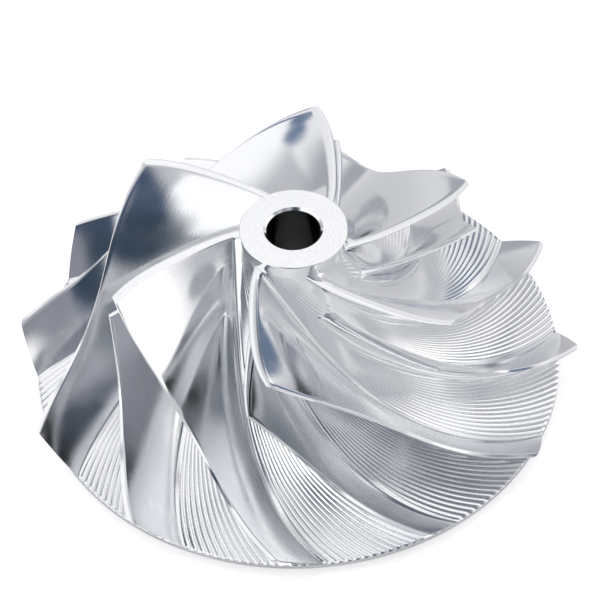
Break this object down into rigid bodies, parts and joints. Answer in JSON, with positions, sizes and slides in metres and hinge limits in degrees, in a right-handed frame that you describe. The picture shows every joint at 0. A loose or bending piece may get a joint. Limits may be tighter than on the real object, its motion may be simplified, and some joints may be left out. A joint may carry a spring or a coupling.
{
  "type": "compressor wheel",
  "caption": "Radial compressor wheel of a turbocharger: full and splitter blades swept round a curved hub on a thin back disc, with a through bore for the shaft.",
  "frame": {"origin": "on the wheel's axis at the rear seat, the lowest face", "axes": "+Z along the axis, out of the nose; the inlet tip of the first full blade is on +X"},
  "size_m": [0.085, 0.085, 0.0301],
  "materials": {
    "aluminium": "milled, bright"
  },
  "bodies": {
    "root": {"compressor_wheel": "aluminium"}
  },
  "joints": []
}
